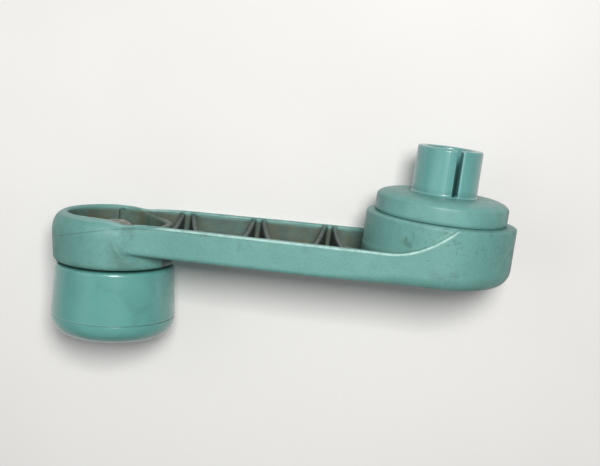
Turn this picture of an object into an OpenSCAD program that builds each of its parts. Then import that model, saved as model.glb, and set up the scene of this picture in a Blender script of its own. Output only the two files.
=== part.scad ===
// Window winder handle (crank) with a slotted hollow spigot, a bearing
// collar that stays against the door trim, a ribbed arm and a free-turning knob.
// Origin: on the spindle axis, at the face of the bearing collar that rests
// on the door trim. +Z points along the spigot into the door, the arm runs
// towards -X and the knob hangs towards -Z. "Front" is the -Z side.

/* [Crank] */
// Distance from the spindle axis to the knob axis, at the arm
crank_r = 88.3; // [82.3:1:96.3]
// Lean of the knob axis towards the spindle, in degrees
knob_tilt = 4.0; // [0:0.5:6]
// Radius of the arm's outline round the boss
boss_r = 20.9; // [20.6:0.1:22]
// Half width of the arm where it meets the knob pad
arm_end_r = 16.9; // [14.9:0.2:17.1]
// Rise of the arm's front face from the knob towards the boss, in degrees
arm_rise = 1.7; // [1.2:0.1:3.5]
// Rise of the rims from the knob towards the boss, in degrees
rim_rise = 1.8; // [1:0.1:2.5]
// Height of the arm's side walls at the boss
arm_h = 8.5; // [7.9:0.2:9.5]
// Wall thickness of the moulding
wall = 2.0; // [1.6:0.1:2.4]
// Thickness of the zigzag ribs in the channel
rib_t = 1.5; // [1.0:0.1:2.2]
// Spacing of the ribs' apexes along one wall
rib_pitch = 20.8; // [18:0.2:22]
// Depth of the ribs' tops below the rims
rib_drop = 1.4; // [1:0.1:3]

/* [Boss and collar] */
// Radius of the raised ring of the boss
ring_r = 20.25; // [19.8:0.05:20.5]
// Height of the bearing collar above the boss
collar_h = 6.3; // [5.9:0.1:6.7]
// Outside radius of the bearing collar
collar_r = 18.05; // [17.6:0.05:18.6]
// Height of the collar's rounded shoulder
crown = 2.3; // [1.6:0.1:2.6]
// Radius of the collar's flat face
face_r = 12.5; // [11.5:0.1:13.5]
// Distance from the collar's face to the front of the boss
boss_depth = 23.0; // [22.7:0.1:24]

/* [Spigot] */
// Outside radius of the spigot
spigot_r = 8.9; // [8.7:0.1:9.1]
// Bore radius of the spigot
spigot_bore_r = 6.4; // [6:0.1:6.8]
// Length of the spigot beyond the collar
spigot_l = 12.6; // [11:0.2:16]
// Width of the long slot in the spigot
slot_w = 1.4; // [1:0.1:2]
// Direction of the slot round the spigot, in degrees
slot_dir = -77; // [-90:1:-45]

/* [Spindle socket] */
// Radius of the round pilot mouth of the socket
pilot_r = 5.25; // [5.1:0.05:5.5]
// Number of serrations in the socket
serrations = 36; // [24:2:48]

/* [Knob] */
// Radius of the knob at the end next to the arm
knob_top_r = 16.45; // [15.65:0.1:16.65]
// Radius of the knob at its widest, near the free end
knob_rim_r = 17.2; // [16.8:0.1:17.6]
// Length of the knob's barrel, from the arm to the seam of the cap
barrel_l = 14.4; // [14.3:0.1:16]
// Height of the rounded end cap
cap_h = 5.4; // [4.1:0.1:6]

/* [Hidden] */
$fn = 96;
round_fn = 120;        // facets of the large turned forms

hair = 0.01;           // hairline gap or overlap along an axis
press = 0.01;          // radial gap of pressed pieces
run = 0.05;            // radial gap of running fits
seam = 0.1;            // gap between the collar and the boss
far = 20;              // reach of cutters beyond the parts

teal_arm = [0.42, 0.64, 0.61];
teal_hub = [0.38, 0.62, 0.58];
teal_knob = [0.36, 0.62, 0.57];
steel = [0.62, 0.63, 0.64];
nylon = [0.90, 0.89, 0.84];

// Boss and arm
ring_top_z = -(collar_h + seam);
front_z = -boss_depth;
sweep_x = -14.5;       // where the rims start to sweep up to the boss ring
sweep_l = 17.5;

// Hub, its screws and the collar that turns on it
seat_z = ring_top_z - 4.1;   // shoulder the hub's flange sits on
flange_h = 3.0;
flange_top_z = seat_z + flange_h;
foot_z = -20.7;        // bottom of the hub's hexagonal foot
foot_r = 10.0;
journal_r = spigot_r + 0.3;
skirt_r = 16.05;
screw_circle_r = 12.45;
snap_groove_h = 0.9;
snap_groove_z = ring_top_z - 2.05;

// Serrated sleeve in the hub
sleeve_r = 7.3;
clip_groove_h = 1.5;
clip_groove_z = -8.6;

// Heights named below are in the knob frame, which is tilted
knob_frame_z = -22.3;  // height of the knob frame's origin
pad_r = 17.4;
pad_top_z = 5.4;
pad_bot_z = -8.3;
tube_top_z = 0.6;      // top of the pin's tube in the pad
pin_washer_t = 0.8;
shank_r = 3;
pin_journal_r = 4;
knob_top_z = pad_bot_z - 0.55;
seam_z = knob_top_z - barrel_l;      // seam between barrel and cap
journal_end_z = knob_top_z - 12.65;
tail_z = knob_top_z - 15;            // end of the pin
tail_groove_z = knob_top_z - 14.25;
knob_skin = 2.2;
bush_r = 6;
bush_seat_depth = 2.2;
knob_cut_z = knob_top_z - 30;        // start of cutters, below the knob

// Front face and rims of the arm; both are level where x > 0
function front_at(x) = front_z + tan(arm_rise) * min(x, 0);
function rim_at(x) = front_z + arm_h + tan(rim_rise) * min(x, 0);

// points of an elliptical arc about [x, z]
function arc(x, z, radius_x, radius_z, angles) =
    [for (a = angles) [x + radius_x * cos(a), z + radius_z * sin(a)]];

// everything on the knob's axis is drawn in this tilted frame
module knob_frame() {
    translate([-crank_r, 0, knob_frame_z]) rotate([0, -knob_tilt, 0]) children();
}

module ring(outer_r, inner_r, bottom, top) {
    translate([0, 0, bottom]) difference() {
        cylinder(r = outer_r, h = top - bottom);
        translate([0, 0, -1]) cylinder(r = inner_r, h = top - bottom + 2);
    }
}

module screw_places(z) {
    for (a = [30 : 120 : 270]) rotate([0, 0, a]) translate([screw_circle_r, 0, z]) children();
}

// a plan outline (x, y) extruded through the full height
module plan_prism() {
    translate([0, 0, -40]) linear_extrude(height = 60) children();
}

// a side profile (x, z) extruded to both sides of the XZ plane
module side_prism(half_w = 30) {
    rotate([90, 0, 0]) translate([0, 0, -half_w]) linear_extrude(height = 2 * half_w) children();
}

// side profile of all that lies below a line, level where x > 0
module below_line(z_end, z_boss) {
    x_end = -crank_r - 30;
    polygon([[x_end, z_end], [0, z_boss], [40, z_boss], [40, -60], [x_end, -60]]);
}

// ---- Arm ----

// outer form of the boss: slight draft, rounded front edge
module boss_outer() {
    edge_r = 5.0;
    draft = 0.3;
    rotate_extrude($fn = round_fn) polygon(concat(
        [[0, front_z], [boss_r - edge_r - 0.4, front_z]],
        arc(boss_r - edge_r - draft, front_z + edge_r, edge_r, edge_r, [-80 : 10 : 0]),
        [[boss_r, -12], [boss_r, ring_top_z + 2], [0, ring_top_z + 2]]));
}

// plan of the arm's straight sides, tangent to circles round the boss and knob
module arm_sides(inset) {
    lean_sin = (boss_r - arm_end_r) / crank_r;
    lean_cos = sqrt(1 - lean_sin * lean_sin);
    near_r = boss_r - inset;
    end_r = arm_end_r - inset;
    // the boss end is moved slightly into the boss circle
    near_x = -near_r * lean_sin - 0.4;
    near_y = near_r * lean_cos - 0.012;
    end_x = -crank_r - end_r * lean_sin;
    end_y = end_r * lean_cos;
    polygon([[near_x, near_y], [end_x, end_y], [end_x, -end_y], [near_x, -near_y]]);
}

// side profile of the arm: front face, rim, and the sweep up to the boss ring
module arm_profile() {
    end_x = -crank_r - 2;
    boss_x = boss_r + 2;
    top_z = ring_top_z - 0.15;
    low_z = rim_at(sweep_x);
    polygon(concat(
        [[end_x, front_at(end_x)], [-9, front_at(-9)], [0.2, front_z + 1.8],
         [0.2, front_z], [boss_x, front_z], [boss_x, top_z]],
        [for (i = [10 : -1 : 0]) let (t = i / 10)
            [sweep_x + sweep_l * t, low_z + (top_z - low_z) * t * t]],
        [[-74, rim_at(-74)], [-82, rim_at(-82) - 0.9], [end_x, rim_at(end_x) - 3.3]]));
}

// pillow-shaped pad: broad rounding above, tight rounding below
module pad_outer() {
    low_r = 1.5;
    high_r = 3.6;
    rotate_extrude($fn = round_fn) polygon(concat(
        [[0, pad_bot_z], [pad_r - 2.1, pad_bot_z]],
        arc(pad_r - 1.9, pad_bot_z + low_r, low_r, low_r, [-90 : 15 : 0]),
        arc(pad_r - high_r, 0.2, high_r, 5.1, [0 : 10 : 80]),
        [[pad_r - 3.5, pad_top_z], [0, pad_top_z]]));
}

module arm_solid() {
    ring_bevel_h = 0.9;
    bevel_z = ring_top_z - ring_bevel_h;
    union() {
        // walls and front skin
        intersection() {
            union() {
                boss_outer();
                plan_prism() arm_sides(0);
            }
            side_prism() arm_profile();
        }
        // raised ring of the boss
        translate([0, 0, -18]) cylinder(r = ring_r, h = 18 + bevel_z);
        translate([0, 0, bevel_z]) cylinder(r1 = ring_r, r2 = ring_r - 0.7, h = ring_bevel_h);
        knob_frame() pad_outer();
    }
}

// plan of the channel between the boss ring and the pad
module channel_plan() {
    difference() {
        union() {
            circle(r = boss_r - wall, $fn = round_fn);
            arm_sides(wall);
        }
        circle(r = ring_r, $fn = round_fn);
        translate([-crank_r + 0.2, 0]) circle(r = pad_r - 2.4);
        translate([-2, -30]) square([40, 60]);
    }
}

// plan of one rib, from x_plus at the +Y wall to x_minus at the -Y wall
module rib(x_plus, x_minus) {
    wall_y = 17;
    extra = 4;         // run-on into the wall at each end
    length = norm([x_minus - x_plus, 2 * wall_y]);
    translate([x_plus, wall_y, 0])
        rotate([0, 0, atan2(-2 * wall_y, x_minus - x_plus)])
            translate([-extra, -rib_t / 2]) square([length + 2 * extra, rib_t]);
}

// ribs in pairs that lean together at the +Y wall
module zigzag_ribs() {
    half_gap = 1.45;
    for (k = [0 : 2]) {
        apex_x = -29.5 - k * rib_pitch;
        rib(apex_x + half_gap, apex_x + 6.4 + k);
        rib(apex_x - half_gap, apex_x - 5.1 + 2 * k);
    }
}

// the channel between the ribs, down to the front skin
module channel_cut() {
    difference() {
        plan_prism() difference() {
            channel_plan();
            zigzag_ribs();
        }
        side_prism() below_line(front_at(-crank_r - 30) + wall, front_z + wall);
    }
}

// the space over the ribs' tops
module rib_top_cut() {
    difference() {
        plan_prism() channel_plan();
        side_prism() below_line(rim_at(-crank_r - 30) - rib_drop, rim_at(0) - rib_drop);
    }
}

// recess of the knob pad, with the pin's tube and six radial ribs left standing
module pad_recess() {
    spoke_t = 1.4;
    spoke_top_z = -0.7;
    difference() {
        translate([0, 0, pad_bot_z + 2.6]) cylinder(r = pad_r - 4.0, h = 20);
        translate([0, 0, -far]) cylinder(r = 5.4, h = far + tube_top_z);
        for (a = [30 : 60 : 330]) rotate([0, 0, a])
            translate([4, -spoke_t / 2, -far]) cube([12, spoke_t, far + spoke_top_z]);
    }
}

module arm_body() color(teal_arm) {
    difference() {
        arm_solid();
        channel_cut();
        rib_top_cut();
        knob_frame() pad_recess();
        // the pad's side towards the boss is sunk between the arm's walls
        intersection() {
            knob_frame() side_prism(20)
                polygon([[1.5, 5.6], [11, 2.8], [18, 2.8], [18, 12], [1.5, 12]]);
            plan_prism() arm_sides(wall);
        }
        // hole for the knob pin's shank
        knob_frame() translate([0, 0, -far]) cylinder(r = shank_r + press, h = 2 * far);
        // seat of the hub's flange and of the collar's skirt
        translate([0, 0, seat_z]) cylinder(r = skirt_r + 0.07, h = 20);
        // groove for the snap ring
        translate([0, 0, snap_groove_z]) cylinder(r = 16.62, h = snap_groove_h);
        // hexagonal socket for the hub's foot
        translate([0, 0, foot_z - 0.1]) cylinder(r = foot_r + press, h = 30, $fn = 6);
        // pilot holes for the hub screws
        screw_places(seat_z - 7.6) cylinder(r = 1.16, h = 12, $fn = 32);
    }
}

// ---- Hub and sleeve ----

module spindle_hub() color(teal_hub) {
    bevel_h = 0.7;
    bevel_z = spigot_l - bevel_h;
    slot_z = 0.25;
    difference() {
        union() {
            translate([0, 0, seat_z]) cylinder(r = spigot_r, h = spigot_l - seat_z - bevel_h);
            // journal the collar turns on, with a small cone at the spigot's foot
            translate([0, 0, seat_z]) cylinder(r = journal_r, h = -seat_z);
            cylinder(r1 = journal_r, r2 = spigot_r, h = 0.3);
            translate([0, 0, bevel_z]) cylinder(r1 = spigot_r, r2 = spigot_r - 0.6, h = bevel_h);
            translate([0, 0, seat_z]) cylinder(r = 14.6, h = flange_h);
            translate([0, 0, foot_z]) cylinder(r = foot_r, h = seat_z - foot_z + hair, $fn = 6);
        }
        // open end of the spigot
        translate([0, 0, -1.6]) cylinder(r = spigot_bore_r, h = spigot_l + 10);
        translate([0, 0, spigot_l - 0.6])
            cylinder(r1 = spigot_bore_r, r2 = spigot_bore_r + 0.7, h = 0.7);
        // seat of the serrated sleeve
        translate([0, 0, -18.4]) cylinder(r = sleeve_r + press, h = 16.81);
        // long slot with one flattened lip
        rotate([0, 0, slot_dir]) {
            translate([0, -slot_w / 2, slot_z]) cube([20, slot_w, spigot_l]);
            translate([spigot_r - 0.32, -slot_w / 2 - 1.75, slot_z])
                rotate([0, 0, 9]) cube([3, 2.0, spigot_l]);
        }
        // holes for the hub screws
        screw_places(seat_z - 1) cylinder(r = 1.6, h = 8, $fn = 48);
    }
}

module hub_screws() color(steel) {
    body_r = 1.15;
    body_l = 9.4;
    tip_h = 0.8;
    head_r = 1.9;
    head_h = 0.9;
    cross_l = 2.0;
    cross_w = 0.4;
    screw_places(flange_top_z) {
        difference() {
            union() {
                translate([0, 0, -body_l]) cylinder(r = body_r, h = body_l + 0.05, $fn = 48);
                translate([0, 0, -body_l - tip_h])
                    cylinder(r1 = 0.35, r2 = body_r, h = tip_h, $fn = 48);
                cylinder(r = head_r, h = head_h, $fn = 48);
                translate([0, 0, head_h]) cylinder(r1 = head_r, r2 = 1.3, h = 0.5, $fn = 48);
            }
            // cross recess
            for (b = [0, 90]) rotate([0, 0, b])
                translate([-cross_l / 2, -cross_w / 2, 0.7]) cube([cross_l, cross_w, 2]);
        }
    }
}

module spindle_sleeve() color(steel) {
    root_r = 5.15;
    tip_r = 4.7;
    difference() {
        translate([0, 0, -18.38]) cylinder(r = sleeve_r, h = 16.7);
        // serrated bore
        translate([0, 0, -17.2]) linear_extrude(height = 14)
            polygon([for (i = [0 : 2 * serrations - 1])
                let (a = i * 180 / serrations, r = (i % 2 == 0) ? root_r : tip_r)
                    [r * cos(a), r * sin(a)]]);
        // round pilot mouth
        translate([0, 0, -5.7]) cylinder(r = pilot_r, h = 10);
        // groove for the spring clip
        translate([0, 0, clip_groove_z]) cylinder(r = 6.0, h = clip_groove_h);
    }
}

module spindle_clip() color(steel) {
    rotate([0, 0, 35]) rotate_extrude(angle = 310, $fn = 96)
        translate([5.25, clip_groove_z + clip_groove_h / 2]) circle(r = 0.62, $fn = 32);
}

// ---- Collar ----

module bearing_collar() color(teal_hub) {
    base_z = ring_top_z + 0.05;
    edge = 0.35;       // bevel under the rim
    difference() {
        union() {
            rotate_extrude($fn = round_fn) polygon(concat(
                [[journal_r, base_z], [skirt_r - 0.4, base_z],
                 [collar_r - edge, -collar_h], [collar_r, -collar_h + edge]],
                arc(face_r, -crown, collar_r - face_r, crown, [0 : 10 : 80]),
                [[face_r, 0], [journal_r, 0]]));
            translate([0, 0, ring_top_z - 3.1]) cylinder(r = skirt_r, h = 4);
        }
        // running bore on the journal
        translate([0, 0, -far]) cylinder(r = journal_r + run, h = 2 * far);
        // hollow underside, over the hub's flange and screw heads
        difference() {
            translate([0, 0, -far]) cylinder(r = 14.95, h = far - 2.6);
            translate([0, 0, ring_top_z - 0.1]) cylinder(r = 10.4, h = 6);
        }
        // groove for the snap ring
        difference() {
            translate([0, 0, snap_groove_z]) cylinder(r = 20, h = snap_groove_h);
            translate([0, 0, ring_top_z - 2.2]) cylinder(r = 15.62, h = 1.2);
        }
    }
}

module collar_wave_washer() color(steel) {
    ring(10.3, journal_r + 0.06, flange_top_z + hair, ring_top_z - 0.13);
}

module collar_snap_ring() color(steel) {
    rotate([0, 0, 100]) rotate_extrude(angle = 335, $fn = round_fn)
        translate([16.1, snap_groove_z + snap_groove_h / 2]) circle(r = 0.4, $fn = 32);
}

// ---- Knob ----

module knob_pin() color(steel) knob_frame() {
    head_r = 4.1;
    head_h = 0.7;
    head_z = tube_top_z + pin_washer_t + 2 * hair;
    difference() {
        union() {
            // riveted head
            translate([0, 0, head_z]) cylinder(r = head_r, h = head_h);
            translate([0, 0, head_z + head_h]) cylinder(r1 = head_r, r2 = 2.6, h = 0.8);
            // shank
            translate([0, 0, pad_bot_z - 0.5]) cylinder(r = shank_r, h = 10.7);
            // journal
            translate([0, 0, journal_end_z])
                cylinder(r = pin_journal_r, h = pad_bot_z - hair - journal_end_z);
            // tail with the ring groove
            translate([0, 0, tail_z]) cylinder(r = shank_r, h = 3);
        }
        difference() {
            translate([0, 0, tail_groove_z]) cylinder(r = 5, h = 0.8);
            translate([0, 0, tail_z]) cylinder(r = 2.35, h = 3);
        }
    }
}

module pin_washer() color(steel) knob_frame()
    ring(5.2, shank_r + press, tube_top_z + hair, tube_top_z + hair + pin_washer_t);

module thrust_washer() color(nylon) knob_frame()
    ring(9.0, pin_journal_r + run, pad_bot_z - 0.45, pad_bot_z - hair);

module knob_wave_washer() color(steel) knob_frame()
    ring(7.4, pin_journal_r + run + 0.05, knob_top_z - 0.9, pad_bot_z - 0.47);

module end_washer() color(steel) knob_frame()
    ring(7.0, shank_r + run, journal_end_z - 0.73, journal_end_z - 0.03);

module knob_retaining_ring() color(steel) knob_frame() difference() {
    cut_z = knob_top_z - 16;
    ring(5.4, 2.37, tail_groove_z + 0.05, tail_groove_z + 0.75);
    // open side
    translate([2.0, -1.9, cut_z]) cube([8, 3.8, 6]);
    // two round holes
    for (a = [110, 250]) rotate([0, 0, a])
        translate([3.4, 0, cut_z]) cylinder(r = 0.8, h = 6, $fn = 32);
}

module knob_barrel() color(teal_knob) knob_frame() difference() {
    edge_r = 0.6;
    spoke_t = 1.2;
    rotate_extrude($fn = round_fn) polygon(concat(
        [[0, knob_top_z], [knob_top_r - edge_r, knob_top_z]],
        arc(knob_top_r - edge_r, knob_top_z - edge_r, edge_r, edge_r, [90 : -22.5 : 0]),
        [[knob_rim_r, seam_z], [0, seam_z]]));
    // hollow between the skin and the bush's tube, with eight radial ribs
    difference() {
        translate([0, 0, knob_cut_z]) cylinder(r = knob_top_r - knob_skin, h = 30 - knob_skin);
        translate([0, 0, knob_top_z - 12.3]) cylinder(r = 8.2, h = 20);
        for (a = [0 : 45 : 315]) rotate([0, 0, a])
            translate([6, -spoke_t / 2, knob_top_z - 11.2]) cube([12, spoke_t, 20]);
    }
    // bush bore, then the pocket for the bush's flange and the wave washer
    translate([0, 0, knob_cut_z]) cylinder(r = bush_r + press, h = 40);
    translate([0, 0, knob_top_z - bush_seat_depth]) cylinder(r = 7.6, h = 6);
}

module knob_bush() color(nylon) knob_frame() difference() {
    union() {
        translate([0, 0, knob_top_z - 12.6]) cylinder(r = bush_r, h = 11.6);
        translate([0, 0, knob_top_z - bush_seat_depth + hair]) cylinder(r = 7.5, h = 1.2);
    }
    translate([0, 0, knob_cut_z]) cylinder(r = pin_journal_r + run, h = 40);
}

module knob_cap() color(teal_knob) knob_frame() {
    edge_r = 4.9;
    rim_r = knob_rim_r - 0.05;
    top_z = seam_z - 0.02;
    end_z = seam_z - cap_h;
    difference() {
        union() {
            rotate_extrude($fn = round_fn) polygon(concat(
                [[0, end_z], [knob_rim_r - 5.2, end_z]],
                arc(rim_r - edge_r, top_z - 0.2, edge_r, cap_h - 0.25, [-80 : 10 : 0]),
                [[rim_r, top_z], [0, top_z]]));
            // plug that presses into the barrel
            translate([0, 0, seam_z - 1]) cylinder(r = knob_top_r - knob_skin - press, h = 3.6);
        }
        translate([0, 0, end_z + 2.1]) cylinder(r = knob_top_r - 4.2, h = 20);
    }
}

arm_body();
spindle_hub();
hub_screws();
spindle_sleeve();
spindle_clip();
bearing_collar();
collar_wave_washer();
collar_snap_ring();
knob_pin();
pin_washer();
thrust_washer();
knob_wave_washer();
end_washer();
knob_retaining_ring();
knob_barrel();
knob_bush();
knob_cap();
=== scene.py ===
# A crank handle. The crank axis is Z through the origin, with a spigot pointing up. The arm
# runs towards -X, its channel open upwards, and ends in a pad. The knob hangs below the pad
# on an axis whose upper end leans towards -X. Shapes are in millimetres, objects in metres.
import math
from functools import reduce

import bpy
import numpy as np
from mathutils import Matrix, Vector
from numpy import clip, hypot, maximum, minimum, where


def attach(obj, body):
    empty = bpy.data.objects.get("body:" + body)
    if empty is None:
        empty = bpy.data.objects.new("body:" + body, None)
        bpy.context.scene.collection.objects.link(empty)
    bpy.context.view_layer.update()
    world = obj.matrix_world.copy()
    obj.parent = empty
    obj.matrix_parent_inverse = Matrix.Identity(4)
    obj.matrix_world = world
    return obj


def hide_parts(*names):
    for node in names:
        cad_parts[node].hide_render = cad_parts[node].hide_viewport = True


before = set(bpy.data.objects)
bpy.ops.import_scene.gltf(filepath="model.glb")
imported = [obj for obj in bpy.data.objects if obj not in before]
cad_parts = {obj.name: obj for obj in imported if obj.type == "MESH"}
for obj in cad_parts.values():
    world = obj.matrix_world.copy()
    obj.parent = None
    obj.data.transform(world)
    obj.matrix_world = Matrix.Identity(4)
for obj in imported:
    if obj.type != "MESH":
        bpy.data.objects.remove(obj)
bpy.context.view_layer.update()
MM = 0.001

# ---------------------------------------------------------------- dimensions (mm)
# Knob frame: origin at (-CRANK_R, 0, KNOB_Z), turned by TILT in XZ; its z is the knob's axis
CRANK_R = 88.3
TILT = math.radians(4.0)
KNOB_Z = -22.3

# Arm
BOSS_R = 20.9
END_R = 16.9
WALL = 2.0
UNDER_Z, UNDER_SLOPE = -23.0, math.tan(math.radians(1.7))
RIM_Z, RIM_SLOPE = UNDER_Z + 8.5, math.tan(math.radians(1.8))
SWEEP_X, SWEEP_L = -14.5, 17.5  # where the rim starts to sweep up to the ring, and how far
RING_R, RING_TOP = 20.25, -6.4
BOSS_BORE_R = 16.12
SNAP_Z, SNAP_HALF = RING_TOP - 1.6, 0.45  # middle and half width of the snap ring's groove
PAD_R, PAD_TOP, PAD_BOTTOM = 17.37, 5.4, -8.3
PAD_SHOULDER, PAD_CROWN = 0.2, 3.6  # height where the pad's crown starts, and its width
RECESS_R = 13.4

# Zigzag ribs of the channel: (x at y = RIB_Y, x at y = -RIB_Y), in three pairs
RIB_X, RIB_PITCH, RIB_Y, RIB_OVERRUN = -29.5, 20.8, 17.8, 0.024
RIBS = []
for pair in range(3):
    for start, lean in ((-1.45, 2 * pair - 3.65), (1.45, pair + 4.95)):
        start += RIB_X - RIB_PITCH * pair
        RIBS.append((start - RIB_OVERRUN * lean, start + lean + RIB_OVERRUN * lean))

# Hub
SEAT, HUB_END, HUB_HEX_R = -10.5, -20.7, 10.0
SCREW_CIRCLE_R = 12.45
SPIGOT_R, SPIGOT_TOP, SPIGOT_BORE = 8.9, 12.6, 6.4
FLARE = 0.3
JOURNAL_R = SPIGOT_R + FLARE
SLOT_ANGLE = math.radians(-77)

# Collar
COLLAR_R, COLLAR_H, FACE_R, CROWN = 18.05, 6.3, 12.5, 2.3

# Knob, heights in the knob frame
KNOB_TOP = PAD_BOTTOM - 0.55
KNOB_TOP_R, KNOB_RIM_R, KNOB_WALL = 16.45, 17.2, 2.2
BARREL_H, CAP_H = 14.4, 5.39
BARREL_END = KNOB_TOP - BARREL_H

# Grid spacing of the moulded pieces
ARM_GRID, HUB_GRID, BARREL_GRID = ((0.468, 0.27, 0.36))


# ---------------------------------------------------------------- distance-field helpers
# A field is negative inside its solid.
def meet(a, b, radius):
    """Intersection whose edge is rounded."""
    return (minimum(maximum(a, b), -radius)
            + hypot(maximum(a + radius, 0), maximum(b + radius, 0)))


def join(a, b, radius):
    """Union with a fillet in the inside corner."""
    return (maximum(minimum(a, b), radius)
            - hypot(maximum(radius - a, 0), maximum(radius - b, 0)))


def overlap(*fields):
    """Intersection with sharp edges."""
    return reduce(maximum, fields)


def cut(body, tool, radius=None):
    """Body less tool, with a rounded edge if a radius is given."""
    return meet(body, -tool, radius) if radius else maximum(body, -tool)


def smooth(start, end, x):
    """Smooth step from 0 at start to 1 at end; start may be the larger."""
    t = clip((x - start) / (end - start), 0, 1)
    return t * t * (3 - 2 * t)


def rotated(x, y, angle):
    """Coordinates in axes turned by the angle."""
    cosine, sine = math.cos(angle), math.sin(angle)
    return x * cosine + y * sine, -x * sine + y * cosine


def to_knob(x, z):
    return rotated(x + CRANK_R, z - KNOB_Z, TILT)


def from_knob(vectors, origin=(-CRANK_R, 0, KNOB_Z)):
    """Points from the knob frame to the main one; directions with origin=0."""
    x, z = rotated(vectors[:, 0], vectors[:, 2], -TILT)
    return np.stack([x, vectors[:, 1], z], 1) + origin


def hexagon(x, y, corner_r):
    flat = corner_r * math.cos(math.radians(30))
    return overlap(*(np.abs(x * math.cos(angle) + y * math.sin(angle)) - flat
                     for angle in map(math.radians, (30, 90, 150))))


def screw_distances(x, y):
    """Distance from each of the three screw axes."""
    return [hypot(x - SCREW_CIRCLE_R * math.cos(angle), y - SCREW_CIRCLE_R * math.sin(angle))
            for angle in map(math.radians, (30, 150, 270))]


def add_spokes(tube, x, y, ends, angles, half_width, edge, fillet):
    """Joins ribs that cross the whole width to a central tube."""
    for angle in map(math.radians, angles):
        across = np.abs(x * -math.sin(angle) + y * math.cos(angle))
        tube = join(tube, meet(across - half_width, ends, edge), fillet)
    return tube


# ---------------------------------------------------------------- arm
def arm_outline(x, y):
    """Outline of the arm in plan: two circles and their common tangents."""
    taper = (BOSS_R - END_R) / CRANK_R
    cosine = math.sqrt(1 - taper * taper)
    side, out = np.abs(y), -x
    along = -taper * side + cosine * out
    flank = cosine * side + taper * out - BOSS_R
    outline = where(along < 0, hypot(side, out) - BOSS_R, flank)
    return where(along > cosine * CRANK_R, hypot(side, out - CRANK_R) - END_R, outline)


def underside(x):
    """Height of the arm's lower face, which levels out past the axis."""
    return UNDER_Z + UNDER_SLOPE * 0.5 * (x - np.sqrt(x * x + 9.0))


def rim_line(x):
    """Height and slope of the rim, which sweeps up in a parabola to the ring."""
    start = RIM_Z + SWEEP_X * RIM_SLOPE
    rise = RING_TOP - 0.15 - start
    t = clip((x - SWEEP_X) / SWEEP_L, 0, 1)
    straight = x < SWEEP_X
    return (where(straight, RIM_Z + RIM_SLOPE * x, start + rise * t * t),
            where(straight, RIM_SLOPE, 2 * rise * t / SWEEP_L))


def pad_form(r, z):
    """Pillow-shaped knob pad: tight lower edge, broad elliptical crown."""
    crown_h, crown_r = PAD_TOP - PAD_SHOULDER, PAD_R - PAD_CROWN
    side = r - (PAD_R - 0.4 * clip((PAD_SHOULDER - z) / 7.1, 0, 1))
    out = maximum(r - crown_r, 1e-6) / PAD_CROWN
    up = maximum(z - PAD_SHOULDER, 1e-6) / crown_h
    reach = hypot(out, up)
    slope = hypot(out / PAD_CROWN, up / crown_h) / maximum(reach, 1e-9)
    crown = (reach - 1) / maximum(slope, 1e-3)
    top = where(r > crown_r, crown, z - PAD_TOP)
    return meet(where(z > PAD_SHOULDER, top, side), PAD_BOTTOM - z, 1.6)


def arm_outside(x, y, z):
    """The arm, the ring round the boss and the knob pad, all still solid."""
    knob_x, knob_z = to_knob(x, z)
    top, slope = rim_line(x)
    slope = where(x < SWEEP_X + SWEEP_L, slope, 0.0)
    rim_edge = 0.42 + 3.3 * smooth(-68.0, -87.0, x)
    lower_edge = 1.25 + 2.15 * smooth(-34.0, -6.0, x) + 1.8 * smooth(0.0, 15.0, x)
    body = meet(arm_outline(x, y), (z - top) / np.sqrt(1 + slope * slope), rim_edge)
    body = meet(body, underside(x) - z, lower_edge)
    ring = overlap(meet(hypot(x, y) - RING_R, z - RING_TOP, 0.95), -17.5 - z)
    body = join(body, ring, 0.22)
    pad_fillet = 0.5 + 1.1 * smooth(-2.0, -5.0, knob_z)
    return join(body, pad_form(hypot(knob_x, y), knob_z), pad_fillet)


def channel(x, y, z):
    """Hollow between the arm's walls, the ring and the pad."""
    hollow = meet(arm_outline(x, y) + WALL, RING_R - hypot(x, y), 0.5)
    hollow = meet(hollow, 15.0 - hypot(x + CRANK_R - 0.2, y), 0.8)
    return meet(hollow, underside(x) + WALL - z, 0.6)


def rib_distance(x, y, first_x, last_x):
    run = last_x - first_x
    return np.abs((x - first_x) * (-2 * RIB_Y) - (y - RIB_Y) * run) / hypot(run, 2 * RIB_Y)


def channel_ribs(x, y, z, knob_r):
    """Zigzag ribs with sagging tops, slightly thicker towards the bottom."""
    half_width, draft, sag = 0.62, 0.012, 2.5
    off_middle = clip(np.abs(y) / 17.0, 0, 1)
    top = z - (RIM_Z + RIM_SLOPE * x - 0.25 - sag * (1 - off_middle * off_middle))
    width = half_width + draft * maximum(-top, 0)
    ribs = reduce(minimum, [meet(rib_distance(x, y, *rib) - width, top, 0.35) for rib in RIBS])
    return overlap(ribs, arm_outline(x, y) + 0.9, x + 12.0, -85.0 - x,
                   underside(x) + 0.8 - z, 14.3 - knob_r)


def pad_recess(x, y, knob_x, knob_r, knob_z):
    """Hollow of the pad, less a central tube and six radial ribs."""
    hollow = meet(knob_r - RECESS_R, -(knob_z + 5.7), 0.8)
    # shallow upright groove in the wall on the +Y side
    groove = overlap(np.abs(x + 89.9) - 0.9, knob_r - 13.62, -(knob_z + 4.0), knob_z - 4.2, -y)
    core = add_spokes(meet(knob_r - 5.4, knob_z - 0.6, 0.35), knob_x, y, knob_z + 0.7,
                      (30, 90, 150), half_width=0.7, edge=0.25, fillet=0.3)
    return cut(minimum(hollow, groove), core, 0.3)


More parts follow.
